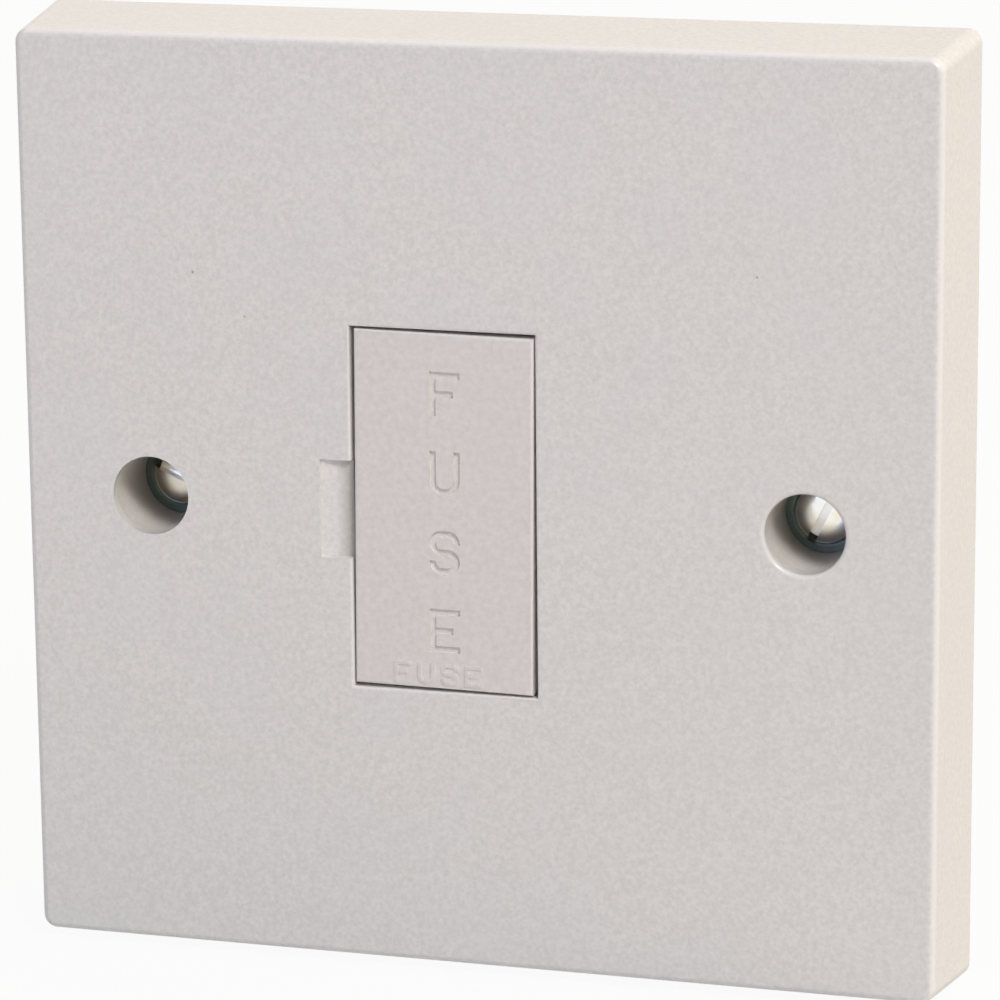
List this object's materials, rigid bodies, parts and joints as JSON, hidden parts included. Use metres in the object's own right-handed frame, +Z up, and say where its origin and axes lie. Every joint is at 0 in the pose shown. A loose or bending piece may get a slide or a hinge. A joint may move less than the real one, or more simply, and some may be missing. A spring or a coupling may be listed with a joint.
{
  "type": "fused spur unit",
  "caption": "Square white wall plate with a flush pull-out fuse carrier, a lever notch beside it and recessed fixing screws; a rear housing holds the fuse contacts and clamp terminals.",
  "frame": {"origin": "middle of the wall plane, half way between the two fixing screws", "axes": "+X to the right seen from the front, +Y into the wall, +Z up"},
  "size_m": [0.086, 0.0336, 0.086],
  "materials": {
    "plate_moulding": "white moulded, fine matt skin",
    "carrier_moulding": "white moulded, satin",
    "housing_moulding": "pale grey moulded, matt",
    "ceramic": "fired ceramic, satin",
    "fuse_cap_metal": "bright nickel plate",
    "fuse_wire_metal": "drawn wire",
    "terminal_brass": "machined brass",
    "sheet_brass": "pressed brass sheet",
    "clamp_screw_brass": "turned brass",
    "screw_zinc": "bright zinc plate",
    "tapping_steel": "dull zinc plate",
    "eyelet_steel": "dark plated steel"
  },
  "bodies": {
    "unit": {"front_plate": "plate_moulding", "rear_housing": "housing_moulding", "supply_live_terminal": "terminal_brass", "load_live_terminal": "terminal_brass", "supply_neutral_terminal": "terminal_brass", "load_neutral_terminal": "terminal_brass", "earth_terminal": "terminal_brass", "fuse_contact_upper": "sheet_brass", "fuse_contact_lower": "sheet_brass", "neutral_link": "sheet_brass", "earth_strap": "sheet_brass", "terminal_screws": "clamp_screw_brass", "fixing_screws": "screw_zinc", "housing_screws": "tapping_steel", "fixing_eyelets": "eyelet_steel"},
    "carrier": {"fuse_carrier": "carrier_moulding", "fuse_tube": "ceramic", "fuse_cap_upper": "fuse_cap_metal", "fuse_cap_lower": "fuse_cap_metal", "fuse_wire": "fuse_wire_metal"}
  },
  "joints": [
    {"name": "carrier_slide", "type": "slide", "parent": "unit", "child": "carrier", "axis": [0, -1, 0], "range_m": [0, 0.0162]}
  ]
}
